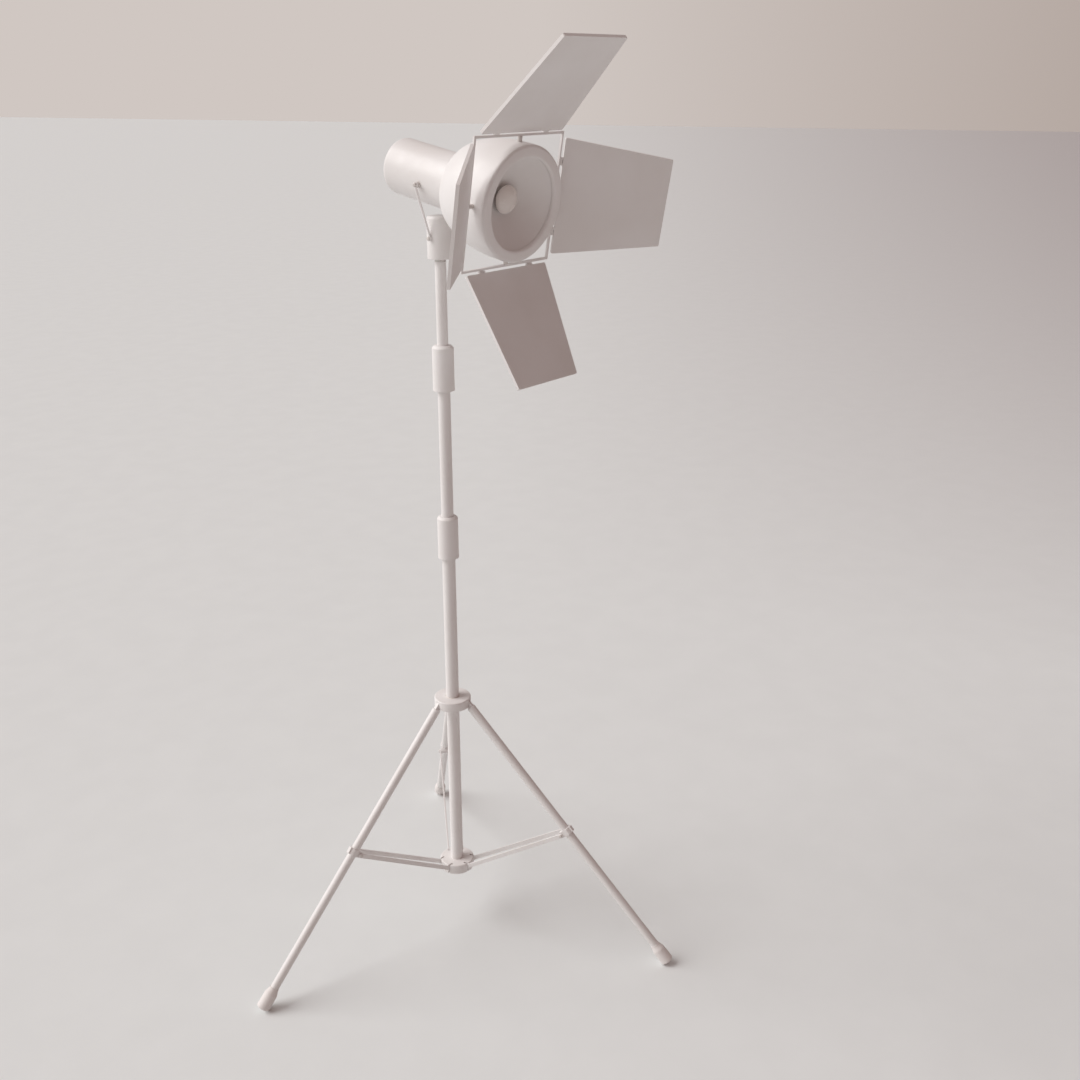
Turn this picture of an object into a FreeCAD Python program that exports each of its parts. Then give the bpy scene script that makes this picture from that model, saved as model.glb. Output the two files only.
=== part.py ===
import FreeCAD, Part
import math
import os

from FreeCAD import Vector

# Studio spotlight with four barn doors, on a folding three-leg stand.
# Millimetres and degrees. The origin is on the floor under the column's axis, +Z is up and the lamp points to -Y.

# --- stand: heights above the floor and radii ---
LEG_AZIMUTHS = {"rear": 50.0, "left": 170.0, "right": 290.0}
LEG_SPREAD = 40.3          # leg to vertical when the stand is open
LEG_LENGTH = 801.8         # crown pin to the end of the boot
LEG_RADIUS = 10.0
LEG_WALL = 1.5
TANG_HALF = 7.0            # half height of the flattened leg end
TANG_THICK = 8.0
SHOULDER = 14.0            # crown pin to where the round leg starts
BRACKET_DOWN = 395.0       # crown pin to the brace bracket, along the leg
BRACKET_OFFSET = 14.0      # leg axis to the bracket's pivot
BRACKET_LENGTH = 16.0
BRACKET_RADIUS = 13.4
EAR_HALF = 11.5            # half width of the bracket's ear
CLAMP_OUT = 16.8           # leg axis to the outside of the bracket's clamp lug
CLAMP_HALF = 4.0
BOOT_LENGTH = 52.0
BOOT_RADIUS = 16.0
BOOT_SOLE = 8.0            # rubber under the leg's end

PIN_RADIUS = 2.5
CROWN_RADIUS = 43.5
CROWN_LOW, CROWN_HIGH = 607.0, 630.0
CROWN_PIN_R, CROWN_PIN_Z = 38.0, 619.0
CROWN_PIN_HALF = 12.0
CROWN_SLOT_HALF = 4.2
CROWN_SLOT_IN = 30.5
CROWN_SLOT_TOP = 626.5
BUSH_RADIUS = 17.0

HUB_RADIUS = 42.0
HUB_LOW, HUB_HIGH = 145.0, 170.0
HUB_PIN_R, HUB_PIN_Z = 32.0, 158.0
HUB_PIN_HALF = 21.2
HUB_SLOT_IN = 26.4         # clear of the straps when they stand upright

STRAP_HEIGHT = 10.0
STRAP_THICK = 4.0
STRAP_AT_HUB = 18.0        # column's radial plane to the strap's middle, at the hub
STRAP_AT_LEG = 13.9
STRAP_FLAT_HUB = 12.0      # length of the parallel end beyond the hub pin
STRAP_FLAT_LEG = 16.0
STRAP_SLOT_PLAY = 0.35
RIVET_RADIUS = 2.0
RIVET_HEAD = 4.2

COLUMN_RADIUS, COLUMN_BORE = 15.25, 14.05
COLUMN_LOW, COLUMN_HIGH = 148.0, 1070.0
MIDDLE_RADIUS, MIDDLE_BORE = 13.75, 12.55
MIDDLE_LOW, MIDDLE_HIGH = 500.0, 1458.0
TOP_RADIUS, TOP_BORE = 12.0, 10.8
TOP_LOW, TOP_HIGH = 740.0, 1652.0

COLLAR_RADIUS = 23.5
LOWER_COLLAR_LOW, LOWER_COLLAR_HIGH = 988.0, 1088.0
UPPER_COLLAR_LOW, UPPER_COLLAR_HIGH = 1378.0, 1476.0
LOWER_BODY_RADIUS = 19.0
UPPER_BODY_RADIUS = 18.0
COLLET_HEIGHT = 13.0

# --- block on top of the stand, and the yoke ---
SPIGOT_RADIUS = 7.9375     # 5/8 inch stand spigot
SPIGOT_HIGH = 1728.0
BLOCK_RADIUS = 26.5
BLOCK_LOW, BLOCK_HIGH = 1658.2, 1745.0
BLOCK_BORE = 8.0
BLOCK_ROUND = 7.0
LOCK_AZIMUTH = 45.0
LOCK_Z = 1684.0
LOCK_SCREW_RADIUS = 4.0
YOKE_PIN_Z = 1701.0
YOKE_PIN_RADIUS = 2.5
YOKE_ROD = 2.4
YOKE_BEND = 8.0            # eye to where the rod starts to slope
EYE_RADIUS = 4.9
EYE_THICK = 5.2
EYE_LOW_X = 29.4
EYE_HIGH_X = 63.0
TILT_Z = 1809.0            # the lamp tilts about this height
BEAM_Z = 1820.5            # the beam's axis crosses the stand's axis at this height
LAMP_TILT = 10.2           # lamp points this far below level

# --- lamp, measured forward from where the beam's axis crosses the stand's axis ---
TUBE_RADIUS, TUBE_WALL = 57.0, 1.5
CAP_BACK, CAP_SEAM = -108.0, -96.0
CAP_ROUND = 12.0
BELL_BACK = 72.0
BELL_ROOT = 5.0            # hollow corner between the tube and the flare
BELL_STRAIGHT = 206.0      # where the flare ends and the straight rim starts
BELL_RADIUS = 113.0
BELL_WALL = 1.5
RIM_SEAM, RIM_FRONT = 229.0, 237.0
RIM_ROUND, LIP_ROUND = 6.5, 6.0
MOUTH_RADIUS = 88.5
BOWL_HOLE, BOWL_APEX = 14.5, 172.0   # hole for the bulb's neck, and where the parabola would close
REFLECTOR_WALL = 1.4
BULB_RADIUS, BULB_DEPTH, BULB_CENTRE = 28.0, 13.7, 190.7   # squat globe: across, along the beam, middle
BULB_NECK = 13.0
GLASS_WALL = 0.8
SOCKET_RADIUS = 20.0
SOCKET_BACK, SOCKET_FRONT = 124.0, 162.0
BOSS_RADIUS = 6.0
BOLT_HEAD, BOLT_HEAD_HIGH = 4.2, 2.8
LEAD_X, LEAD_Y = 12.0, -20.0
LEAD_RADIUS = 1.6

# --- inlet module in the rear cap: a mains inlet below and the rocker switch above it ---
MODULE_HALF, MODULE_LOW, MODULE_HIGH = 13.8, -31.0, 11.0
MODULE_FRONT = -86.0
BEZEL = 2.5
SWITCH_Y, SWITCH_DEEP = 0.5, -102.0
SWITCH_HALF_X, SWITCH_HALF_Y = 9.2, 7.6
SWITCH_PIVOT = 1.2

# --- barn-door frame and doors ---
FRAME_HALF = 125.6         # beam axis to the middle of a frame bar
BAR = 4.6
FRAME_MIDDLE = 206.7
FRAME_TURN = 0.75          # the frame sits slightly turned on the bell
STUD_POST, STUD_STEM = 4.5, 3.0
HINGE_OUT, HINGE_FORWARD = 131.0, 208.6
HINGE_PIN = 1.2
KNUCKLE = 2.6
LUG_AT = 70.0
LUG_WIDE = 6.0
LEAF_KNUCKLE_WIDE = 4.6
DOOR_ROOT, DOOR_LENGTH = 2.8, 240.6
DOOR_HALF_ROOT, DOOR_HALF_TIP = 115.9, 89.2
DOOR_DEPTH = 6.5
DOOR_SHEET = 1.5
DOOR_CORNER = 3.0
DOOR_SIDES = {"top": FRAME_TURN, "left": 90 + FRAME_TURN, "bottom": 180 + FRAME_TURN, "right": FRAME_TURN - 90}
DOOR_OPEN = {"top": 52.8, "left": 51.3, "bottom": 52.8, "right": 58.5}

# --- play between pieces ---
SNUG = 0.02                # pin or tube held fast in a hole
RUNNING = 0.05             # pin or tube that turns or slides in a hole

ORIGIN = Vector(0, 0, 0)
X, Y, Z = Vector(1, 0, 0), Vector(0, 1, 0), Vector(0, 0, 1)


# --- shape helpers ---

def corner_arc(before, here, after, radius):
    """Start, middle and end of the arc that rounds the corner at here."""
    to_before, to_after = (before - here).normalize(), (after - here).normalize()
    half = to_before.getAngle(to_after) / 2
    back = radius / math.tan(half)
    centre = here + (to_before + to_after).normalize() * (radius / math.sin(half))
    middle = centre + (here - centre).normalize() * radius
    return here + to_before * back, middle, here + to_after * back


def closed_wire(corners, lift):
    """Closed wire through (a, b) corners, each rounded by its third value if it has one.

    lift turns a flat point into its place in space.
    """
    flat = [Vector(c[0], c[1], 0) for c in corners]
    stops = []
    for i, corner in enumerate(corners):
        if len(corner) == 3:
            stops.append(corner_arc(flat[i - 1], flat[i], flat[(i + 1) % len(flat)], corner[2]))
        else:
            stops.append((flat[i],))
    edges = []
    for stop, following in zip(stops, stops[1:] + stops[:1]):
        if len(stop) == 3:
            edges.append(Part.Arc(*[lift(p) for p in stop]).toShape())
        if (following[0] - stop[-1]).Length > 1e-6:
            edges.append(Part.makeLine(lift(stop[-1]), lift(following[0])))
    return Part.Wire(edges)


def turned(corners):
    """Solid turned about +Z from an outline of (radius, height) corners."""
    wire = closed_wire(corners, lambda p: Vector(p.x, 0, p.y))
    return Part.Face(wire).revolve(ORIGIN, Z, 360)


def ring(outer, inner, low, high):
    """Upright tube on the Z axis."""
    return turned([(inner, low), (outer, low), (outer, high), (inner, high)])


def rod(radius, start, end):
    """Round bar between two points."""
    return Part.makeCylinder(radius, (end - start).Length, start, end - start)


def cross_rod(radius, half, x=0.0, z=0.0):
    """Round bar along Y, centred on the XZ plane."""
    return rod(radius, Vector(x, -half, z), Vector(x, half, z))


def block(x, y, z):
    """Box from three (low, high) pairs."""
    return Part.makeBox(x[1] - x[0], y[1] - y[0], z[1] - z[0], Vector(x[0], y[0], z[0]))


def joined(*solids):
    """One solid made of overlapping ones."""
    return solids[0].fuse(list(solids[1:])).removeSplitter()


def moved(shape, angle, axis, shift=ORIGIN):
    """Copy turned about an axis through the origin, then shifted."""
    copy = shape.copy()
    copy.rotate(ORIGIN, axis, angle)
    copy.translate(shift)
    return copy


def around(shape, azimuth):
    """Copy turned about the stand's axis."""
    return moved(shape, azimuth, Z)


def save(name, *shapes):
    """Write one node, as its separate solids."""
    solids = [solid for shape in shapes for solid in shape.Solids]
    whole = solids[0] if len(solids) == 1 else Part.makeCompound(solids)
    whole.exportStep(f"parts/{name}.step")


# --- legs: built hanging along -Z from the crown pin, +X is the outer side ---

def leg_tube():
    """Round tube with a closed top that narrows to a flat tang with the pin's hole."""
    tang = joined(
        cross_rod(TANG_HALF, TANG_THICK / 2),
        block((-TANG_HALF, TANG_HALF), (-TANG_THICK / 2, TANG_THICK / 2), (-SHOULDER - 4, 0)),
    )
    end = BOOT_SOLE - LEG_LENGTH
    bore = LEG_RADIUS - LEG_WALL
    cap = SHOULDER + 8
    body = turned([
        (0, -SHOULDER), (LEG_RADIUS, -SHOULDER, 2), (LEG_RADIUS, end),
        (bore, end), (bore, -cap), (0, -cap),
    ])
    return joined(tang, body).cut(cross_rod(PIN_RADIUS + RUNNING, TANG_THICK))


def leg_bracket():
    """Sleeve on the leg, with a clamp lug outside and an ear inside that sits between the brace straps."""
    half = BRACKET_LENGTH / 2
    sleeve = turned([
        (LEG_RADIUS - 1, -half), (BRACKET_RADIUS, -half, 1),
        (BRACKET_RADIUS, half, 1), (LEG_RADIUS - 1, half),
    ])
    ear_round, overlap = 7.0, 2.0
    ear = joined(
        cross_rod(ear_round, EAR_HALF, x=-BRACKET_OFFSET),
        block((-BRACKET_OFFSET, overlap - LEG_RADIUS), (-EAR_HALF, EAR_HALF), (-ear_round, ear_round)),
    )
    clamp = block((LEG_RADIUS, CLAMP_OUT), (-CLAMP_HALF, CLAMP_HALF), (-half + 1, half - 1))
    between_straps = block((-CLAMP_OUT - EAR_HALF, CLAMP_OUT), (-EAR_HALF, EAR_HALF), (-half, half))
    tube_hole = Part.makeCylinder(LEG_RADIUS + SNUG, BRACKET_LENGTH + 2, Vector(0, 0, -half - 1))
    rivet_hole = cross_rod(RIVET_RADIUS + 1, EAR_HALF + 1, x=-BRACKET_OFFSET)
    solid = joined(sleeve, ear, clamp).common(between_straps).cut([tube_hole, rivet_hole])
    solid.translate(Vector(0, 0, -BRACKET_DOWN))
    return solid


def boot():
    """Rubber boot that swells below its neck and has a rounded end."""
    end = -LEG_LENGTH
    grip = LEG_RADIUS + SNUG
    neck = LEG_RADIUS + 1.3
    top = end + BOOT_LENGTH
    return turned([
        (0, end), (BOOT_RADIUS, end, 5), (BOOT_RADIUS - 0.8, top - 14, 8), (neck, top - 3, 3),
        (neck, top), (grip, top), (grip, end + BOOT_SOLE), (0, end + BOOT_SOLE),
    ])


def spread(shape, azimuth):
    """Swing a hanging leg piece out to its place under the crown."""
    out = moved(shape, -LEG_SPREAD, Y, Vector(CROWN_PIN_R, 0, CROWN_PIN_Z))
    return around(out, azimuth)


def legs():
    floor = block((-900, 900), (-900, 900), (-50, 0))
    tube, bracket, foot = leg_tube(), leg_bracket(), boot()
    for name, azimuth in LEG_AZIMUTHS.items():
        save(f"leg_{name}_tube", spread(tube, azimuth))
        save(f"leg_{name}_bracket", spread(bracket, azimuth))
        save(f"leg_{name}_boot", spread(foot, azimuth).cut(floor))


# --- crown: the disc that the legs hang from ---

def crown():
    disc = turned([
        (BUSH_RADIUS + SNUG, CROWN_LOW), (CROWN_RADIUS, CROWN_LOW, 2),
        (CROWN_RADIUS, CROWN_HIGH, 3), (BUSH_RADIUS + SNUG, CROWN_HIGH),
    ])
    slot = block((CROWN_SLOT_IN, CROWN_RADIUS + 5), (-CROWN_SLOT_HALF, CROWN_SLOT_HALF),
                 (CROWN_LOW - 5, CROWN_SLOT_TOP))
    hole = cross_rod(PIN_RADIUS + SNUG, CROWN_PIN_HALF + SNUG, CROWN_PIN_R, CROWN_PIN_Z)
    pin = cross_rod(PIN_RADIUS, CROWN_PIN_HALF, CROWN_PIN_R, CROWN_PIN_Z)
    for azimuth in LEG_AZIMUTHS.values():
        disc = disc.cut([around(slot, azimuth), around(hole, azimuth)])
    save("crown_hub", disc)
    save("crown_pins", *[around(pin, azimuth) for azimuth in LEG_AZIMUTHS.values()])
    save("crown_bush", ring(BUSH_RADIUS, COLUMN_RADIUS + RUNNING, CROWN_LOW, CROWN_HIGH))


# --- braces: built along +X from the hub pin, lying level ---

def bracket_pivot():
    """Where the brace meets the leg, as (radius, height)."""
    angle = math.radians(LEG_SPREAD)
    down, inward = BRACKET_DOWN, BRACKET_OFFSET
    radius = CROWN_PIN_R + down * math.sin(angle) - inward * math.cos(angle)
    height = CROWN_PIN_Z - down * math.cos(angle) - inward * math.sin(angle)
    return radius, height


def strap(side, length):
    """Flat bar on edge, with parallel ends and a slight joggle between them."""
    half_thick, half_high = STRAP_THICK / 2, STRAP_HEIGHT / 2
    stations = [
        (-half_high, STRAP_AT_HUB), (STRAP_FLAT_HUB, STRAP_AT_HUB),
        (length - STRAP_FLAT_LEG, STRAP_AT_LEG), (length + half_high, STRAP_AT_LEG),
    ]
    inner = [(x, side * (y - half_thick)) for x, y in stations]
    outer = [(x, side * (y + half_thick)) for x, y in reversed(stations)]
    wire = closed_wire(inner + outer, lambda p: Vector(p.x, p.y, -half_high))
    bar = Part.Face(wire).extrude(Vector(0, 0, STRAP_HEIGHT))
    wide = STRAP_AT_HUB + STRAP_THICK
    stadium = joined(
        cross_rod(half_high, wide), cross_rod(half_high, wide, length),
        block((0, length), (-wide, wide), (-half_high, half_high)),
    )
    return bar.common(stadium).cut([
        cross_rod(PIN_RADIUS + RUNNING, wide), cross_rod(RIVET_RADIUS + SNUG, wide, length),
    ])


def rivet(side, length):
    """Rivet through one strap, with a domed head on the outside."""
    inner = STRAP_AT_LEG - STRAP_THICK / 2
    outer = STRAP_AT_LEG + STRAP_THICK / 2
    upright = turned([
        (0, inner), (RIVET_RADIUS, inner), (RIVET_RADIUS, outer), (RIVET_HEAD, outer),
        (RIVET_HEAD, outer + 2, 1.6), (0, outer + 2),
    ])
    return moved(upright, -90 * side, X, Vector(length, 0, 0))


def braces():
    radius, height = bracket_pivot()
    length = math.hypot(radius - HUB_PIN_R, height - HUB_PIN_Z)
    rise = math.degrees(math.atan2(height - HUB_PIN_Z, radius - HUB_PIN_R))
    hub_pin = Vector(HUB_PIN_R, 0, HUB_PIN_Z)
    for name, azimuth in LEG_AZIMUTHS.items():
        for part, make in (("straps", strap), ("rivets", rivet)):
            pair = [moved(make(side, length), -rise, Y, hub_pin) for side in (-1, 1)]
            save(f"brace_{name}_{part}", *[around(one, azimuth) for one in pair])


# --- column: lower hub, outer tube and what is fixed to it ---

def strap_slot(side):
    """Room for one brace strap in the hub, open above so that the strap can stand upright."""
    half, middle = STRAP_THICK / 2 + STRAP_SLOT_PLAY, side * STRAP_AT_HUB
    return block((HUB_SLOT_IN, HUB_RADIUS + 5), (middle - half, middle + half), (HUB_LOW - 5, HUB_HIGH + 5))


def lower_hub():
    disc = turned([
        (COLUMN_RADIUS + SNUG, HUB_LOW), (HUB_RADIUS, HUB_LOW, 2),
        (HUB_RADIUS, HUB_HIGH, 3), (COLUMN_RADIUS + SNUG, HUB_HIGH),
    ])
    pin_hole = cross_rod(PIN_RADIUS + SNUG, HUB_PIN_HALF + SNUG, HUB_PIN_R, HUB_PIN_Z)
    pin = cross_rod(PIN_RADIUS, HUB_PIN_HALF, HUB_PIN_R, HUB_PIN_Z)
    for azimuth in LEG_AZIMUTHS.values():
        for side in (-1, 1):
            disc = disc.cut(around(strap_slot(side), azimuth))
        disc = disc.cut(around(pin_hole, azimuth))
    save("lower_hub", disc)
    save("hub_pins", *[around(pin, azimuth) for azimuth in LEG_AZIMUTHS.values()])


def column():
    save("base_column", ring(COLUMN_RADIUS, COLUMN_BORE, COLUMN_LOW, COLUMN_HIGH))
    plug_low, plug_high = COLUMN_LOW - 6, COLUMN_LOW + 18
    save("column_plug", turned([
        (0, plug_low), (COLUMN_RADIUS, plug_low, 2), (COLUMN_RADIUS, COLUMN_LOW),
        (COLUMN_BORE - RUNNING, COLUMN_LOW), (COLUMN_BORE - RUNNING, plug_high, 1), (0, plug_high),
    ]))


# --- twist locks: a body fixed to the outer tube, a split collet on it, and a collar around both ---

def collet(outer, inner, low):
    """Split ring that the collar squeezes on to the inner tube."""
    slit = block((0, outer + 1), (-0.8, 0.8), (low - 1, low + COLLET_HEIGHT + 1))
    return ring(outer, inner, low, low + COLLET_HEIGHT).cut(slit)


def collar(low, high, body_radius, tube_radius, outer_tube):
    """Smooth grip with a bevelled top, a lip over the collet and a closed lower edge."""
    inner, lip = body_radius + RUNNING, tube_radius + 0.35
    under_lip = outer_tube + COLLET_HEIGHT + 0.3
    bevel = 5.0
    return turned([
        (inner, low), (COLLAR_RADIUS + 0.6, low, 0.5), (COLLAR_RADIUS, low + 9, 8),
        (COLLAR_RADIUS, high - bevel, 2.5), (COLLAR_RADIUS - bevel, high, 1.2), (lip, high),
        (lip, under_lip), (inner, under_lip),
    ])


def twist_locks():
    gap = 0.1
    save("lower_lock_body", ring(LOWER_BODY_RADIUS, COLUMN_RADIUS + SNUG,
                                 LOWER_COLLAR_LOW + 6, COLUMN_HIGH))
    save("lower_collet", collet(LOWER_BODY_RADIUS - 0.2, MIDDLE_RADIUS + RUNNING, COLUMN_HIGH + gap))
    save("lower_collar", collar(LOWER_COLLAR_LOW, LOWER_COLLAR_HIGH, LOWER_BODY_RADIUS,
                                MIDDLE_RADIUS, COLUMN_HIGH + gap))
    save("upper_lock_body", ring(UPPER_BODY_RADIUS, MIDDLE_RADIUS + SNUG,
                                 UPPER_COLLAR_LOW + 6, MIDDLE_HIGH))
    save("upper_collet", collet(UPPER_BODY_RADIUS - 0.2, TOP_RADIUS + RUNNING, MIDDLE_HIGH + gap))
    save("upper_collar", collar(UPPER_COLLAR_LOW, UPPER_COLLAR_HIGH, UPPER_BODY_RADIUS,
                                TOP_RADIUS, MIDDLE_HIGH + gap))


# --- risers: the two tubes that slide out of the column ---

def slide_bush(outer_bore, own_bore, tube_low):
    """Nylon bush on a riser's lower end: a flange that rides in the outer tube, and a stem in its own tube."""
    flange, stem, bore = outer_bore - RUNNING, own_bore - RUNNING, own_bore / 2
    return turned([
        (bore, tube_low - 8), (flange, tube_low - 8, 1), (flange, tube_low),
        (stem, tube_low), (stem, tube_low + 16, 1), (bore, tube_low + 16),
    ])


def risers():
    save("middle_riser", ring(MIDDLE_RADIUS, MIDDLE_BORE, MIDDLE_LOW, MIDDLE_HIGH))
    save("middle_bush", slide_bush(COLUMN_BORE, MIDDLE_BORE, MIDDLE_LOW))
    save("top_riser", ring(TOP_RADIUS, TOP_BORE, TOP_LOW, TOP_HIGH))
    save("top_bush", slide_bush(MIDDLE_BORE, TOP_BORE, TOP_LOW))


def spigot():
    """Steel spigot in the top riser's end, with a groove that the lock screw bites into."""
    shoulder = BLOCK_LOW - 0.4
    tail, tail_radius = TOP_HIGH - 32, TOP_BORE - RUNNING
    groove, groove_half, slope = 6.9, 7.0, 1.0
    centre, centre_floor = 4.0, SPIGOT_HIGH - 15
    save("stand_spigot", turned([
        (0, tail), (tail_radius, tail, 1), (tail_radius, TOP_HIGH),
        (TOP_RADIUS, TOP_HIGH), (TOP_RADIUS, shoulder), (SPIGOT_RADIUS, shoulder),
        (SPIGOT_RADIUS, LOCK_Z - groove_half - slope), (groove, LOCK_Z - groove_half),
        (groove, LOCK_Z + groove_half), (SPIGOT_RADIUS, LOCK_Z + groove_half + slope),
        (SPIGOT_RADIUS, SPIGOT_HIGH, 1.5), (centre, SPIGOT_HIGH), (centre, centre_floor), (0, centre_floor),
    ]))


# --- block and yoke ---

def knob(radius, low, high, lobes):
    """Hand knob on the Z axis with scallops cut round its rim."""
    body = turned([(0, low), (radius, low, 1.5), (radius, high, 2.5), (0, high)])
    scallop = radius * 0.22
    cutter = Part.makeCylinder(scallop, high - low + 2, Vector(radius + scallop * 0.45, 0, low - 1))
    return body.cut([around(cutter, 360 / lobes * i) for i in range(lobes)])


def swivel_block():
    """Round block that turns on the spigot and carries the yoke's two bolts."""
    body = turned([
        (BLOCK_BORE, BLOCK_LOW), (BLOCK_RADIUS, BLOCK_LOW, 1), (BLOCK_RADIUS, BLOCK_HIGH, BLOCK_ROUND),
        (0, BLOCK_HIGH), (0, SPIGOT_HIGH + 2), (BLOCK_BORE, SPIGOT_HIGH + 2),
    ])
    bolt_in = 14.0
    for side in (-1, 1):
        body = body.cut(rod(YOKE_PIN_RADIUS + SNUG, Vector(side * (bolt_in - 0.2), 0, YOKE_PIN_Z),
                            Vector(side * (BLOCK_RADIUS + 1), 0, YOKE_PIN_Z)))
    screw_hole = rod(LOCK_SCREW_RADIUS + RUNNING, Vector(BLOCK_BORE - 1, 0, LOCK_Z),
                     Vector(BLOCK_RADIUS + 1, 0, LOCK_Z))
    save("swivel_block", body.cut(around(screw_hole, LOCK_AZIMUTH)))
    bolt = shoulder_bolt(bolt_in, EYE_LOW_X + EYE_THICK / 2 + 0.2)
    save("yoke_bolts", *[moved(bolt, angle, Z, Vector(0, 0, YOKE_PIN_Z)) for angle in (0, 180)])


def shoulder_bolt(start, shoulder):
    """Bolt along +X with a round shank and a low domed head."""
    top = shoulder + BOLT_HEAD_HIGH
    upright = turned([
        (0, start), (YOKE_PIN_RADIUS, start), (YOKE_PIN_RADIUS, shoulder), (BOLT_HEAD, shoulder),
        (BOLT_HEAD, top, 1.6), (0, top),
    ])
    return moved(upright, 90, Y)


def lock_screw():
    """Hand screw that clamps the spigot, pointing away from the lamp's left side."""
    tip = SPIGOT_RADIUS + 0.4
    grip, grip_long, grip_radius, lobes = BLOCK_RADIUS + 4.5, 13.0, 11.0, 7
    upright = joined(
        Part.makeCylinder(LOCK_SCREW_RADIUS, grip + 2 - tip, Vector(0, 0, tip)),
        knob(grip_radius, grip, grip + grip_long, lobes),
    )
    level = moved(upright, 90, Y, Vector(0, 0, LOCK_Z))
    save("block_lock_screw", around(level, LOCK_AZIMUTH))


def yoke_arm(side):
    """Round bar with an eye at each end, upright at the eyes and sloping between them."""
    low, high = Vector(side * EYE_LOW_X, 0, YOKE_PIN_Z), Vector(side * EYE_HIGH_X, 0, TILT_Z)
    bends = [low + Z * YOKE_BEND, high - Z * YOKE_BEND]
    in_eye = (YOKE_PIN_RADIUS + EYE_RADIUS) / 2
    path = [low + Z * in_eye, *bends, high - Z * in_eye]
    pieces = [rod(YOKE_ROD, a, b) for a, b in zip(path, path[1:])]
    pieces += [Part.makeSphere(YOKE_ROD, bend) for bend in bends]
    reach = X * (EYE_THICK / 2)
    pieces += [rod(EYE_RADIUS, eye - reach, eye + reach) for eye in (low, high)]
    holes = [rod(YOKE_PIN_RADIUS + RUNNING, eye - reach * 2, eye + reach * 2) for eye in (low, high)]
    return joined(*pieces).cut(holes)


# --- lamp: built with +Z forward along the beam and +Y up, from where the beam's axis crosses the stand's ---

def aimed(shape):
    """Turn a lamp piece to face along the beam and lift it to its height."""
    return moved(shape, 90 + LAMP_TILT, X, Vector(0, 0, BEAM_Z))


def tilt_axis():
    """The tilt axis, as a point in the lamp's own directions: straight below the beam's crossing."""
    drop, lean = BEAM_Z - TILT_Z, math.radians(LAMP_TILT)
    return Vector(0, -drop * math.cos(lean), drop * math.sin(lean))


def rear_housing():
    body = ring(TUBE_RADIUS, TUBE_RADIUS - TUBE_WALL, CAP_SEAM, BELL_BACK)
    reach = X * TUBE_RADIUS * 1.1
    return body.cut(rod(BOSS_RADIUS + SNUG, tilt_axis() - reach, tilt_axis() + reach))


def rear_cap():
    """Rounded end cap with two banks of cooling slots and the opening for the inlet module."""
    inner, spigot_r = TUBE_RADIUS - 3, TUBE_RADIUS - TUBE_WALL - 0.1
    body = turned([
        (TUBE_RADIUS, CAP_SEAM), (TUBE_RADIUS, CAP_BACK, CAP_ROUND), (0, CAP_BACK), (0, CAP_BACK + 2),
        (inner, CAP_BACK + 2, CAP_ROUND - 3), (inner, CAP_SEAM + 12), (spigot_r, CAP_SEAM + 12),
        (spigot_r, CAP_SEAM),
    ])
    through = (CAP_BACK - 1, CAP_BACK + 3)
    slot_in, slot_out, slot_half, slot_step = 20.0, 38.0, 1.6, 8.0
    cuts = [block((-MODULE_HALF, MODULE_HALF), (MODULE_LOW, MODULE_HIGH), through)]
    for row in range(-2, 3):
        for side in (-1, 1):
            x, y = sorted((side * slot_in, side * slot_out)), row * slot_step
            cuts.append(block(x, (y - slot_half, y + slot_half), through))
    return body.cut(cuts)


def quarter_ellipse(back, front, low, high):
    """Edge that leaves the back straight outward and meets the front running along the axis."""
    centre = Vector(low, 0, front)
    ellipse = Part.Ellipse(centre - Z * (front - back), centre + X * (high - low), centre)
    return Part.Arc(ellipse, 0, math.pi / 2).toShape()


def bell_housing():
    """Spun bell: a spigot in the rear tube, a hollow root, a quarter-ellipse flare and a straight rim."""
    spigot_out = TUBE_RADIUS - TUBE_WALL - 0.1
    spigot_in = spigot_out - BELL_WALL
    spigot_back = BELL_BACK - 15
    inner = BELL_RADIUS - BELL_WALL
    flare_low = TUBE_RADIUS + BELL_ROOT

    def root(radius):
        """Quarter circle from the tube's direction round to straight outward."""
        start, middle, end = (
            Vector(flare_low - radius * math.cos(turn), 0, BELL_BACK + radius * math.sin(turn))
            for turn in (0, math.pi / 4, math.pi / 2)
        )
        return Part.Arc(start, middle, end).toShape()

    thick_root = flare_low - spigot_in
    outside = [root(BELL_ROOT), quarter_ellipse(BELL_BACK + BELL_ROOT, BELL_STRAIGHT, flare_low, BELL_RADIUS)]
    inside = [root(thick_root), quarter_ellipse(BELL_BACK + thick_root, BELL_STRAIGHT, flare_low, inner)]
    front = [Vector(BELL_RADIUS, 0, BELL_STRAIGHT), Vector(BELL_RADIUS, 0, RIM_SEAM),
             Vector(inner, 0, RIM_SEAM), Vector(inner, 0, BELL_STRAIGHT)]
    back = [Vector(spigot_in, 0, BELL_BACK), Vector(spigot_in, 0, spigot_back),
            Vector(spigot_out, 0, spigot_back), Vector(spigot_out, 0, BELL_BACK),
            Vector(TUBE_RADIUS, 0, BELL_BACK)]
    edges = [*outside, *Part.makePolygon(front).Edges, *inside, *Part.makePolygon(back).Edges]
    wire = Part.Wire(Part.__sortEdges__(edges))
    body = Part.Face(wire).revolve(ORIGIN, Z, 360)
    return body.cut([around(stud_hole(), angle) for angle in DOOR_SIDES.values()])


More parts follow.
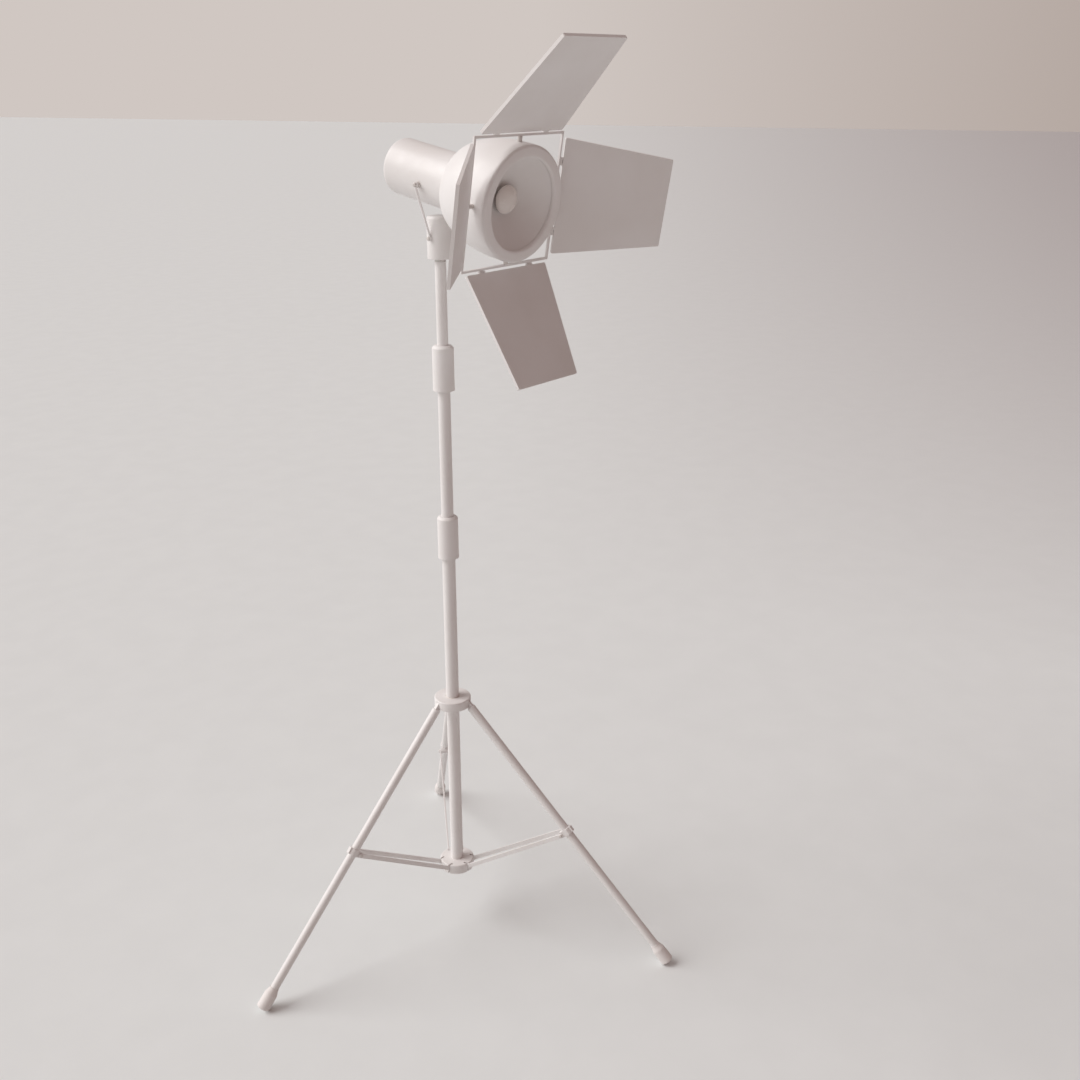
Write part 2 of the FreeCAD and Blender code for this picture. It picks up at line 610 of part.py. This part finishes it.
def front_ring():
    """Cast ring that closes the rim: rounded outside and at the mouth, with a skirt inside the bell."""
    skirt = BELL_RADIUS - BELL_WALL - 0.1
    web = RIM_FRONT - 2.5
    lip, skirt_in, skirt_back = MOUTH_RADIUS + 8, skirt - 6, RIM_SEAM - 10
    return turned([
        (MOUTH_RADIUS, RIM_SEAM), (lip, RIM_SEAM), (lip, web), (skirt_in, web), (skirt_in, skirt_back),
        (skirt, skirt_back), (skirt, RIM_SEAM), (BELL_RADIUS, RIM_SEAM),
        (BELL_RADIUS, RIM_FRONT, RIM_ROUND), (MOUTH_RADIUS, RIM_FRONT, LIP_ROUND),
    ])


def reflector():
    """Parabolic bowl with a hole for the bulb's neck and a flange behind the front ring."""
    flange_front = RIM_SEAM - 0.2
    flange_back = flange_front - 1.2
    flange_edge = MOUTH_RADIUS + 12
    # r * r = slope * (z - apex), through the mouth's edge
    slope = MOUTH_RADIUS ** 2 / (flange_front - BOWL_APEX)

    def bowl(low_z, high_z, behind):
        count = 9
        heights = [low_z + (high_z - low_z) * (i / (count - 1)) ** 2 for i in range(count)]
        curve = Part.BSplineCurve()
        curve.interpolate([Vector(math.sqrt(slope * (z + behind - BOWL_APEX)), 0, z) for z in heights])
        return curve.toShape()

    hole_z = BOWL_APEX + BOWL_HOLE ** 2 / slope
    front, back = bowl(hole_z, flange_front, 0), bowl(hole_z - REFLECTOR_WALL, flange_back, REFLECTOR_WALL)
    mouth_back = math.sqrt(slope * (flange_back + REFLECTOR_WALL - BOWL_APEX))
    flange = [Vector(MOUTH_RADIUS, 0, flange_front), Vector(flange_edge, 0, flange_front),
              Vector(flange_edge, 0, flange_back), Vector(mouth_back, 0, flange_back)]
    hole = Part.makeLine(Vector(BOWL_HOLE, 0, hole_z), Vector(BOWL_HOLE, 0, hole_z - REFLECTOR_WALL))
    edges = [front, *Part.makePolygon(flange).Edges, back, hole]
    return Part.Face(Part.Wire(Part.__sortEdges__(edges))).revolve(ORIGIN, Z, 360)


def bulb_glass():
    """Hollow squat globe with a short neck, open where it meets its base."""
    foot, count = SOCKET_FRONT - 2, 10

    def bulb(inset, low):
        """Solid of the globe and its neck, drawn in by inset."""
        radius, depth, neck = BULB_RADIUS - inset, BULB_DEPTH - inset, BULB_NECK - inset
        start = -math.acos(neck / radius)
        turns = [start + (math.pi / 2 - start) * i / count for i in range(count)]
        around_globe = [Vector(radius * math.cos(t), 0, BULB_CENTRE + depth * math.sin(t)) for t in turns]
        pole = Vector(0, 0, BULB_CENTRE + depth)
        globe = Part.BSplineCurve()
        globe.interpolate([*around_globe, pole])
        stem = Part.makePolygon([pole, Vector(0, 0, low), Vector(neck, 0, low), around_globe[0]])
        return Part.Face(Part.Wire([*stem.Edges, globe.toShape()])).revolve(ORIGIN, Z, 360)

    return bulb(0, foot).cut(bulb(GLASS_WALL, foot - 1))


def bulb_base():
    """Screw cap of the bulb, with rounded thread grooves and a contact pip."""
    front, back = SOCKET_FRONT - 2.1, SOCKET_BACK + 12
    crest, root, pitch = BULB_NECK + 0.4, BULB_NECK - 0.6, 3.6
    corners = [(0, front), (BULB_NECK, front)]
    z = front - 4
    while z > back + pitch:
        corners += [(crest, z), (root, z - pitch / 2)]
        z -= pitch
    return turned([*corners, (8, back), (3, back - 1.5), (0, back - 1.5)])


def lamp_socket():
    """Ceramic cup that the bulb's cap stands in."""
    bore = BULB_NECK + 0.7
    floor = SOCKET_BACK + 9
    return turned([
        (0, SOCKET_BACK), (SOCKET_RADIUS, SOCKET_BACK, 1.5), (SOCKET_RADIUS, SOCKET_FRONT, 2),
        (bore, SOCKET_FRONT), (bore, floor), (0, floor),
    ])


def socket_bracket():
    """Spider plate inside the bell's spigot, with a post that carries the socket."""
    plate_r, plate = TUBE_RADIUS - 3.3, (BELL_BACK - 11, BELL_BACK - 9)
    post, bore, pad = 12.0, 10.5, 14.0
    body = turned([
        (bore, plate[0]), (plate_r, plate[0]), (plate_r, plate[1]), (post, plate[1]),
        (post, SOCKET_BACK - 2), (pad, SOCKET_BACK - 2), (pad, SOCKET_BACK), (bore, SOCKET_BACK),
    ])
    cuts = [around(Part.makeCylinder(9, 10, Vector(38, 0, plate[0] - 2)), 60 * i) for i in range(6)]
    cuts += [Part.makeCylinder(LEAD_RADIUS + 0.6, 10, Vector(side * LEAD_X, LEAD_Y, plate[0] - 2))
             for side in (-1, 1)]
    return body.cut(cuts)


def lead(side):
    """Insulated wire from the inlet module to the back of the socket."""
    x = side * LEAD_X
    path = [Vector(x, LEAD_Y, MODULE_FRONT), Vector(x, LEAD_Y, SOCKET_BACK - 20),
            Vector(x, -12, SOCKET_BACK - 8), Vector(x, -12, SOCKET_BACK)]
    pieces = [rod(LEAD_RADIUS, a, b) for a, b in zip(path, path[1:])]
    pieces += [Part.makeSphere(LEAD_RADIUS, bend) for bend in path[1:-1]]
    return joined(*pieces)


def inlet_module():
    """Moulded body and bezel, with a recess for three blades below and one for the rocker switch above."""
    bezel_back, bezel_over, bezel_below = CAP_BACK - BEZEL, 2.2, 2.0
    play, floor, pivot_half = 0.1, 6.0, 11.2
    recess_half, recess_low, recess_high = 11.0, -28.5, -11.5
    body = joined(
        block((-MODULE_HALF + play, MODULE_HALF - play), (MODULE_LOW + play, MODULE_HIGH - play),
              (CAP_BACK - 1, MODULE_FRONT)),
        block((-MODULE_HALF - bezel_over, MODULE_HALF + bezel_over),
              (MODULE_LOW - bezel_below, MODULE_HIGH + bezel_below), (bezel_back, CAP_BACK)),
    )
    body = body.cut([
        block((-recess_half, recess_half), (recess_low, recess_high), (bezel_back - 1, MODULE_FRONT - floor)),
        block((-SWITCH_HALF_X, SWITCH_HALF_X), (SWITCH_Y - SWITCH_HALF_Y, SWITCH_Y + SWITCH_HALF_Y),
              (bezel_back - 1, SWITCH_DEEP + floor)),
        rod(SWITCH_PIVOT + RUNNING, Vector(-pivot_half, SWITCH_Y, SWITCH_DEEP),
            Vector(pivot_half, SWITCH_Y, SWITCH_DEEP)),
    ])
    blades = [block((x - 1, x + 1), (y - 2, y + 2), (CAP_BACK + 2, MODULE_FRONT - floor + 1))
              for x, y in ((-7, -18), (0, -22), (7, -18))]
    return joined(body, *blades)


def power_switch():
    """Rocker with a dished face, resting with its lower end pressed in."""
    half_x, half_y = SWITCH_HALF_X - 0.6, SWITCH_HALF_Y - 1.3
    proud, front, pivot_half, rocked = 2.5, 2.0, 11.0, 6.0
    back = CAP_BACK - BEZEL - proud - SWITCH_DEEP
    dish, dished = 40.0, 1.0
    rocker = block((-half_x, half_x), (-half_y, half_y), (back, front))
    hollow = rod(dish, Vector(-half_x - 1, 0, back - dish + dished), Vector(half_x + 1, 0, back - dish + dished))
    pivot = rod(SWITCH_PIVOT, X * -pivot_half, X * pivot_half)
    return moved(joined(rocker.cut(hollow), pivot), rocked, X, Vector(0, SWITCH_Y, SWITCH_DEEP))


def trunnion_boss(hole):
    """Threaded boss through the tube's wall on the +X side of the tilt axis, with a flange inside."""
    flange, flange_radius, flange_thick = 44.0, BOSS_RADIUS + 3, 3.0
    outer = EYE_HIGH_X - EYE_THICK / 2 - 0.2
    upright = turned([
        (hole, flange), (flange_radius, flange), (flange_radius, flange + flange_thick),
        (BOSS_RADIUS, flange + flange_thick), (BOSS_RADIUS, outer, 0.8), (hole, outer),
    ])
    return moved(upright, 90, Y)


def tilt_fasteners():
    """Bosses, the left arm's bolt and the right arm's hand knob, all on the tilt axis."""
    shoulder, tip = EYE_HIGH_X + EYE_THICK / 2 + 0.2, 45.0
    lift = Vector(0, 0, TILT_Z)
    right = trunnion_boss(YOKE_PIN_RADIUS + RUNNING)
    left = moved(trunnion_boss(YOKE_PIN_RADIUS + SNUG), 180, Z)
    save("trunnion_bosses", moved(right, 0, Z, lift), moved(left, 0, Z, lift))
    save("trunnion_bolt", moved(shoulder_bolt(tip, shoulder), 180, Z, lift))
    neck, neck_long, knob_radius, knob_long, lobes = 7.0, 4.0, 14.0, 13.0, 8
    grip = joined(
        Part.makeCylinder(YOKE_PIN_RADIUS, shoulder + 2 - tip, Vector(0, 0, tip)),
        Part.makeCylinder(neck, neck_long + 2, Vector(0, 0, shoulder)),
        knob(knob_radius, shoulder + neck_long, shoulder + neck_long + knob_long, lobes),
    )
    save("tilt_knob", moved(grip, 90, Y, lift))


# --- barn doors: one side is built as the top one, then turned about the beam ---

def stud_hole():
    return rod(STUD_STEM, Vector(0, BELL_RADIUS - 5, FRAME_MIDDLE), Vector(0, BELL_RADIUS + 5, FRAME_MIDDLE))


def frame_stud():
    """Stand-off between the bell and one frame bar, with a stem through the bell."""
    low, high = BELL_RADIUS + SNUG, FRAME_HALF - BAR / 2
    post = rod(STUD_POST, Vector(0, low, FRAME_MIDDLE), Vector(0, high, FRAME_MIDDLE))
    stem = rod(STUD_STEM - SNUG, Vector(0, BELL_RADIUS - 4, FRAME_MIDDLE), Vector(0, low + 2, FRAME_MIDDLE))
    return joined(post, stem)


def hinge_lug(x):
    """Lug on the frame's front that holds one hinge pin."""
    wide = (x - LUG_WIDE / 2, x + LUG_WIDE / 2)
    at = [Vector(end, HINGE_OUT, HINGE_FORWARD) for end in wide]
    foot = block(wide, (FRAME_HALF, HINGE_OUT), (FRAME_MIDDLE - BAR / 2 + 0.3, HINGE_FORWARD))
    return joined(foot, rod(KNUCKLE, *at))


def door_frame():
    """Square bar frame with two hinge lugs on each side."""
    outer, inner = FRAME_HALF + BAR / 2, FRAME_HALF - BAR / 2
    deep = (FRAME_MIDDLE - BAR / 2, FRAME_MIDDLE + BAR / 2)
    plate = block((-outer, outer), (-outer, outer), deep)
    plate = plate.makeFillet(0.8, plate.Edges)
    bars = around(plate.cut(block((-inner, inner), (-inner, inner), (deep[0] - 1, deep[1] + 1))), FRAME_TURN)
    lugs = [around(hinge_lug(x), angle) for angle in DOOR_SIDES.values() for x in (-LUG_AT, LUG_AT)]
    holes = [around(rod(HINGE_PIN + SNUG, Vector(x - LUG_WIDE, HINGE_OUT, HINGE_FORWARD),
                        Vector(x + LUG_WIDE, HINGE_OUT, HINGE_FORWARD)), angle)
             for angle in DOOR_SIDES.values() for x in (-LUG_AT, LUG_AT)]
    return joined(bars, *lugs).cut(holes)


def hinge_pins():
    half = LUG_WIDE / 2 + LEAF_KNUCKLE_WIDE + 0.6
    return [around(rod(HINGE_PIN, Vector(x - half, HINGE_OUT, HINGE_FORWARD),
                       Vector(x + half, HINGE_OUT, HINGE_FORWARD)), angle)
            for angle in DOOR_SIDES.values() for x in (-LUG_AT, LUG_AT)]


def leaf(inset, low, high):
    """Slab with the door's tapered outline, drawn in by inset."""
    taper = (DOOR_HALF_ROOT - DOOR_HALF_TIP) / DOOR_LENGTH
    near, far = DOOR_ROOT + inset, DOOR_LENGTH - inset
    half_near, half_far = (DOOR_HALF_ROOT - taper * z - inset for z in (near, far))
    corner = DOOR_CORNER - inset
    outline = [
        (-half_near, near, corner), (half_near, near, corner), (half_far, far, corner), (-half_far, far, corner),
    ]
    wire = closed_wire(outline, lambda p: Vector(p.x, low, p.y))
    return Part.Face(wire).extrude(Vector(0, high - low, 0))


def door(side):
    """Sheet door with folded rims on its outer face and two forked hinge knuckles."""
    half = DOOR_DEPTH / 2
    tray = leaf(0.0, -half, half).cut(leaf(DOOR_SHEET, -half + DOOR_SHEET, half + 1))
    knuckles = []
    for lug in (-LUG_AT, LUG_AT):
        for hand in (-1, 1):
            near = lug + hand * (LUG_WIDE / 2 + 0.2)
            wide = sorted((near, near + hand * LEAF_KNUCKLE_WIDE))
            knuckles.append(rod(KNUCKLE, Vector(wide[0], 0, 0), Vector(wide[1], 0, 0)))
            knuckles.append(block(wide, (-KNUCKLE, KNUCKLE), (0, DOOR_ROOT + 1)))
    pin_hole = rod(HINGE_PIN + RUNNING, X * -LUG_AT * 1.3, X * LUG_AT * 1.3)
    whole = joined(tray, *knuckles).cut(pin_hole)
    opened = moved(whole, -DOOR_OPEN[side], X, Vector(0, HINGE_OUT, HINGE_FORWARD))
    return around(opened, DOOR_SIDES[side])


def lamp():
    single = {
        "rear_housing": rear_housing, "rear_cap": rear_cap, "bell_housing": bell_housing,
        "front_ring": front_ring, "reflector": reflector, "bulb_glass": bulb_glass,
        "bulb_base": bulb_base, "lamp_socket": lamp_socket, "socket_bracket": socket_bracket,
        "inlet_module": inlet_module, "power_switch": power_switch, "door_frame": door_frame,
    }
    for name, make in single.items():
        save(name, aimed(make()))
    save("lamp_wiring", *[aimed(lead(side)) for side in (-1, 1)])
    save("frame_studs", *[aimed(around(frame_stud(), angle)) for angle in DOOR_SIDES.values()])
    save("door_hinge_pins", *[aimed(pin) for pin in hinge_pins()])
    for side in DOOR_SIDES:
        save(f"door_{side}", aimed(door(side)))
    tilt_fasteners()


os.makedirs("parts", exist_ok=True)
legs()
crown()
braces()
lower_hub()
column()
twist_locks()
risers()
spigot()
swivel_block()
lock_screw()
save("yoke_arm_left", yoke_arm(-1))
save("yoke_arm_right", yoke_arm(1))
lamp()
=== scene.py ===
import math

import bpy
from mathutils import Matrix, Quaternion, Vector


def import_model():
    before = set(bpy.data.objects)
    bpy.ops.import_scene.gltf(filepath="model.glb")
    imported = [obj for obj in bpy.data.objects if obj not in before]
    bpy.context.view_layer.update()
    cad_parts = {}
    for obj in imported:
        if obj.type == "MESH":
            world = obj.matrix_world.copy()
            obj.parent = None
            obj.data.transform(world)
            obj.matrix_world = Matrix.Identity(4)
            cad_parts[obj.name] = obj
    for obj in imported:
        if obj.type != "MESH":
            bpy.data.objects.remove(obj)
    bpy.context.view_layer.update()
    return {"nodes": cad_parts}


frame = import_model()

# Looks of a studio spotlight with four barn doors on a folding stand.
# Metres and degrees. +Z is up and the lamp points to -Y.

nodes = frame["nodes"]
MM = 0.001

# --- view and room ---
CAMERA_PLACE = Vector((-1.761, -1.775, 1.985))
CAMERA_HEADING = 40.43     # degrees from +X towards +Y
CAMERA_PITCH = 20.98       # degrees below level
CAMERA_ROLL = 0.1
LENS_MM, SENSOR_MM = 39.06, 36.0
FLOOR_EDGE = 71.3          # camera to the floor's far edge
FLOOR_TURN = 16.4          # heading of the far edge's normal
FLOOR_SIZE = 600.0         # depth of the floor and half its width
KEY_SPREAD = 46.0          # how wide the key looks from the object
KEY_STRENGTH = 2.25
KEY_RIGHT, KEY_AHEAD, KEY_UP = -0.79, -0.02, 0.62   # towards the key, as seen from the camera
KEY_TINT = (1.0, 0.985, 0.975)
DARK_SIDE = Vector((0.35, -0.94, 0.1)).normalized()   # where the surround is darkest

# --- tones, as display values out of 255 ---
PAINT = (232, 229, 228)
PAINT_DRIFT = (227, 223, 221)
PAINT_RUBBED = (242, 240, 239)
FLOOR_TONE = (229, 232, 232)
FLOOR_DRIFT = (227, 230, 230)
# floor tone in painted shade, far off on the right of the view
FLOOR_FAR_SHADE = (180, 174, 174)
# backdrop wall seen by the camera, in painted shade towards the right
WALL_LEFT, WALL_RIGHT_SHADED = (208, 199, 194), (178, 165, 158)
SURROUND_BRIGHT, SURROUND_DARK = (207, 204, 202), (133, 108, 102)

# --- scale of a finish's detail, in features per metre, and how far it swings ---
DRIFT_SCALE = 7.0
GLOSS_SCALE = 45.0
GLOSS_SWING = 0.07
SPECK_SHARE = 0.25
WEAR_PATCH_SCALE = 60.0
WEAR_WIDTH = 1.2 * MM      # how far rubbed paint reaches in from an edge

# --- rounding of the carried-over pieces ---
EDGE_ROUND = 0.4 * MM
WELD_DISTANCE = 0.002 * MM
FLAT_ANGLE = math.radians(0.3)    # faces closer than this are one flat
SHARP_ANGLE = math.radians(30.0)  # edges sharper than this are rounded


def linear(tone):
    """Scene-linear RGBA of a display colour given as 0-255 values."""
    def channel(value):
        share = value / 255
        return share / 12.92 if share <= 0.04045 else ((share + 0.055) / 1.055) ** 2.4
    return tuple(channel(value) for value in tone) + (1.0,)


# --- node graphs ---

def add(tree, kind, inputs=None, **settings):
    """New shader node. An input given as a socket is linked, and any other input value is set."""
    made = tree.nodes.new(kind)
    for key, value in settings.items():
        setattr(made, key, value)
    for key, value in (inputs or {}).items():
        if isinstance(value, bpy.types.NodeSocket):
            tree.links.new(value, made.inputs[key])
        else:
            made.inputs[key].default_value = value
    return made


def noise(tree, place, scale, detail=2.0):
    """Noise around 0.5, at scale features per metre."""
    made = add(tree, "ShaderNodeTexNoise", {"Vector": place, "Scale": scale, "Detail": detail})
    return made.outputs["Fac"]


def spread_over(tree, value, low, high, to_low=0.0, to_high=1.0):
    """Value stretched from low..high to to_low..to_high, and held there."""
    made = add(tree, "ShaderNodeMapRange", {
        "Value": value, "From Min": low, "From Max": high, "To Min": to_low, "To Max": to_high,
    })
    return made.outputs["Result"]


def blend_colour(tree, share, first, second):
    made = add(tree, "ShaderNodeMix", {"Factor": share, "A": first, "B": second}, data_type="RGBA")
    return made.outputs["Result"]


def multiply(tree, first, second):
    return add(tree, "ShaderNodeMath", {0: first, 1: second}, operation="MULTIPLY").outputs[0]


def dot(tree, first, second):
    made = add(tree, "ShaderNodeVectorMath", {0: first, 1: second}, operation="DOT_PRODUCT")
    return made.outputs["Value"]


def edge_mask(tree, place, radius):
    """1 on sharp edges and 0 on open faces, broken up so that the wear isn't even."""
    rounded = add(tree, "ShaderNodeBevel", {"Radius": radius}, samples=4).outputs["Normal"]
    flat = add(tree, "ShaderNodeNewGeometry").outputs["Normal"]
    edge = spread_over(tree, dot(tree, rounded, flat), 0.97, 0.80)
    patches = spread_over(tree, noise(tree, place, WEAR_PATCH_SCALE, 4.0), 0.42, 0.62)
    return multiply(tree, edge, patches)


def surface(name, colour, drift, roughness, grain, relief, rubbed=None, wear=0.0, **shader):
    """Opaque finish: two close tones that drift over the piece, fine specks, uneven gloss, a fine relief
    of grain features per metre and relief metres deep, and edges rubbed towards another tone."""
    made = bpy.data.materials.new(name)
    made.use_nodes = True
    tree = made.node_tree
    place = add(tree, "ShaderNodeTexCoord").outputs["Object"]
    tone = blend_colour(tree, spread_over(tree, noise(tree, place, DRIFT_SCALE, 3.0), 0.35, 0.65),
                        linear(colour), linear(drift))
    specks = spread_over(tree, noise(tree, place, grain * 2.3, 1.0), 0.60, 0.75, 0.0, SPECK_SHARE)
    tone = blend_colour(tree, specks, tone, linear(drift))
    gloss = spread_over(tree, noise(tree, place, GLOSS_SCALE, 3.0), 0.3, 0.7,
                        roughness - GLOSS_SWING, roughness + GLOSS_SWING)
    if rubbed:
        mask = multiply(tree, edge_mask(tree, place, WEAR_WIDTH), wear)
        tone = blend_colour(tree, mask, tone, linear(rubbed))
    bump = add(tree, "ShaderNodeBump", {
        "Height": noise(tree, place, grain, 2.0), "Distance": relief, "Strength": 1.0,
    })
    shading = tree.nodes["Principled BSDF"]
    tree.links.new(tone, shading.inputs["Base Color"])
    tree.links.new(gloss, shading.inputs["Roughness"])
    tree.links.new(bump.outputs["Normal"], shading.inputs["Normal"])
    for key, value in shader.items():
        shading.inputs[key.replace("_", " ")].default_value = value
    return made


# --- finishes, one for each material slot ---

def stand_paint():
    """Satin powder coat on the stand's tubes and castings."""
    return surface("stand_paint", PAINT, PAINT_DRIFT,
                   roughness=0.46, grain=520.0, relief=0.05 * MM, rubbed=PAINT_RUBBED, wear=0.6)


def lamp_paint():
    """Slightly finer powder coat on the lamp's spun and pressed shells."""
    return surface("lamp_paint", PAINT, PAINT_DRIFT,
                   roughness=0.42, grain=650.0, relief=0.035 * MM, rubbed=PAINT_RUBBED, wear=0.6)


def door_paint():
    return surface("door_paint", PAINT, PAINT_DRIFT,
                   roughness=0.55, grain=600.0, relief=0.04 * MM, rubbed=PAINT_RUBBED, wear=0.6)


def reflector_paint():
    return surface("reflector_paint", PAINT, PAINT_DRIFT, roughness=0.40, grain=420.0, relief=0.05 * MM)


def collar_plastic():
    """Moulded plastic with a fine spark-eroded texture."""
    return surface("collar_plastic", PAINT, PAINT_DRIFT,
                   roughness=0.50, grain=1500.0, relief=0.03 * MM, rubbed=PAINT_RUBBED, wear=0.4)


def nylon():
    return surface("nylon", (236, 231, 224), (230, 224, 214),
                   roughness=0.38, grain=900.0, relief=0.01 * MM)


def boot_rubber():
    return surface("boot_rubber", (230, 225, 223), (224, 218, 215),
                   roughness=0.60, grain=900.0, relief=0.05 * MM, rubbed=PAINT_RUBBED, wear=0.3)


def fastener_steel():
    return surface("fastener_steel", (214, 208, 204), (200, 194, 190),
                   roughness=0.34, grain=700.0, relief=0.01 * MM, Metallic=0.35)


def spigot_steel():
    return surface("spigot_steel", (205, 202, 198), (190, 186, 182),
                   roughness=0.28, grain=1200.0, relief=0.01 * MM, Metallic=1.0)


def ceramic_white():
    return surface("ceramic_white", (238, 234, 226), (230, 225, 216),
                   roughness=0.30, grain=300.0, relief=0.02 * MM)


def bulb_glass():
    return surface("bulb_glass", (236, 231, 227), (232, 226, 221),
                   roughness=0.24, grain=260.0, relief=0.01 * MM)


def bulb_cap():
    return surface("bulb_cap", (200, 196, 190), (184, 178, 170),
                   roughness=0.30, grain=500.0, relief=0.01 * MM, Metallic=1.0)


def module_plastic():
    return surface("module_plastic", (120, 114, 110), (108, 102, 98),
                   roughness=0.45, grain=1300.0, relief=0.03 * MM)


def switch_plastic():
    return surface("switch_plastic", (98, 93, 90), (88, 83, 80),
                   roughness=0.32, grain=900.0, relief=0.01 * MM)


def wire_sleeve():
    return surface("wire_sleeve", (222, 214, 204), (206, 196, 184),
                   roughness=0.55, grain=1600.0, relief=0.03 * MM)


FINISHES = {
    make.__name__: make for make in (
        stand_paint, lamp_paint, door_paint, reflector_paint, collar_plastic, nylon, boot_rubber,
        fastener_steel, spigot_steel, ceramic_white, bulb_glass, bulb_cap, module_plastic,
        switch_plastic, wire_sleeve,
    )
}


def floor_finish_and_shade():
    """Matt sealed floor whose tone darkens in painted shade towards the far right of the view."""
    made = surface("floor_finish_and_shade", FLOOR_TONE, FLOOR_DRIFT,
                   roughness=0.62, grain=30.0, relief=0.01 * MM, Specular_IOR_Level=0.15)
    tree = made.node_tree
    place = add(tree, "ShaderNodeNewGeometry").outputs["Position"]
    offset = add(tree, "ShaderNodeVectorMath", {0: place, 1: CAMERA_PLACE}, operation="SUBTRACT").outputs[0]
    ray = add(tree, "ShaderNodeVectorMath", {0: offset}, operation="NORMALIZE").outputs[0]
    aside = spread_over(tree, dot(tree, ray, heading(CAMERA_HEADING - 90)), -0.05, 0.42)
    away = spread_over(tree, dot(tree, ray, Vector((0, 0, 1))), -0.42, -0.02, 0.15, 1.0)
    # share of painted shade on the floor, growing to the right of the view and into the distance
    far_shade_share = multiply(tree, aside, away)
    shading = tree.nodes["Principled BSDF"]
    tone = shading.inputs["Base Color"].links[0].from_socket
    tree.links.new(blend_colour(tree, far_shade_share, tone, linear(FLOOR_FAR_SHADE)), shading.inputs["Base Color"])
    return made


# --- carried-over pieces ---

def soften(piece):
    """Merge the split corners, join coplanar facets, and round and smooth the sharp edges."""
    mesh = piece.data
    custom = mesh.attributes.get("custom_normal")
    if custom:
        mesh.attributes.remove(custom)
    for face in mesh.polygons:
        face.use_smooth = True
    weld = piece.modifiers.new("weld", "WELD")
    weld.merge_threshold = WELD_DISTANCE
    flat = piece.modifiers.new("join_flats", "DECIMATE")
    flat.decimate_type = "DISSOLVE"
    flat.angle_limit = FLAT_ANGLE
    bevel = piece.modifiers.new("round_edges", "BEVEL")
    bevel.width = EDGE_ROUND
    bevel.segments = 2
    bevel.limit_method = "ANGLE"
    bevel.angle_limit = SHARP_ANGLE
    bevel.use_clamp_overlap = True
    bevel.harden_normals = True


def dress_nodes():
    """Give every CAD node the finish that its material slot is named after, and soften it."""
    made = {}
    for name, piece in nodes.items():
        slot = piece.material_slots[0]
        kind = slot.material.name.split(".")[0]
        if kind not in made:
            made[kind] = FINISHES[kind]()
        slot.material = made[kind]
        soften(piece)


# --- room, light and camera ---

def heading(degrees):
    angle = math.radians(degrees)
    return Vector((math.cos(angle), math.sin(angle), 0))


def floor():
    """Wide level floor whose far edge crosses the view at a slight slant."""
    along = heading(FLOOR_TURN)
    across = heading(FLOOR_TURN - 90)
    far = Vector((CAMERA_PLACE.x, CAMERA_PLACE.y, 0)) + along * FLOOR_EDGE
    near = far - along * FLOOR_SIZE
    side = across * FLOOR_SIZE
    corners = [far + side, far - side, near - side, near + side]
    mesh = bpy.data.meshes.new("floor")
    mesh.from_pydata(corners, [], [(0, 1, 2, 3)])
    piece = bpy.data.objects.new("floor", mesh)
    bpy.context.scene.collection.objects.link(piece)
    piece.data.materials.append(floor_finish_and_shade())


def world():
    """Pale surround, brighter on the left of the view and darker and warmer on the right. The backdrop wall
    that the camera sees is painted lighter on the left and in painted shade on the right.
    """
    made = bpy.data.worlds.new("surround")
    bpy.context.scene.world = made
    made.use_nodes = True
    tree = made.node_tree
    direction = add(tree, "ShaderNodeTexCoord").outputs["Generated"]
    to_right = spread_over(tree, dot(tree, direction, heading(CAMERA_HEADING - 90)), 0.0, 0.45)
    # painted shade on the backdrop wall, deepening towards the right of the view
    wall = blend_colour(tree, to_right, linear(WALL_LEFT), linear(WALL_RIGHT_SHADED))
    to_dark = spread_over(tree, dot(tree, direction, DARK_SIDE), -0.7, 0.7)
    light = blend_colour(tree, to_dark, linear(SURROUND_BRIGHT), linear(SURROUND_DARK))
    seen = add(tree, "ShaderNodeLightPath").outputs["Is Camera Ray"]
    shade = blend_colour(tree, seen, light, wall)
    background = tree.nodes["Background"]
    tree.links.new(shade, background.inputs["Color"])


def key_light():
    """Broad soft key, high on the left of the view."""
    lamp = bpy.data.lights.new("key", "SUN")
    lamp.angle = math.radians(KEY_SPREAD)
    lamp.energy = KEY_STRENGTH
    lamp.color = KEY_TINT
    piece = bpy.data.objects.new("key", lamp)
    bpy.context.scene.collection.objects.link(piece)
    right, ahead = heading(CAMERA_HEADING - 90), heading(CAMERA_HEADING)
    toward = (right * KEY_RIGHT + ahead * KEY_AHEAD + Vector((0, 0, KEY_UP))).normalized()
    piece.rotation_euler = (-toward).to_track_quat("-Z", "Y").to_euler()


def camera():
    lens = bpy.data.cameras.new("camera")
    lens.lens, lens.sensor_width = LENS_MM, SENSOR_MM
    lens.clip_start, lens.clip_end = 0.05, 2000.0
    piece = bpy.data.objects.new("camera", lens)
    bpy.context.scene.collection.objects.link(piece)
    pitch = math.radians(CAMERA_PITCH)
    forward = heading(CAMERA_HEADING) * math.cos(pitch) - Vector((0, 0, math.sin(pitch)))
    aim = forward.to_track_quat("-Z", "Y")
    roll = Quaternion((0, 0, 1), math.radians(CAMERA_ROLL))
    piece.rotation_euler = (aim @ roll).to_euler()
    piece.location = CAMERA_PLACE
    bpy.context.scene.camera = piece


dress_nodes()
floor()
world()
key_light()
camera()
bpy.context.scene.view_settings.view_transform = "Standard"
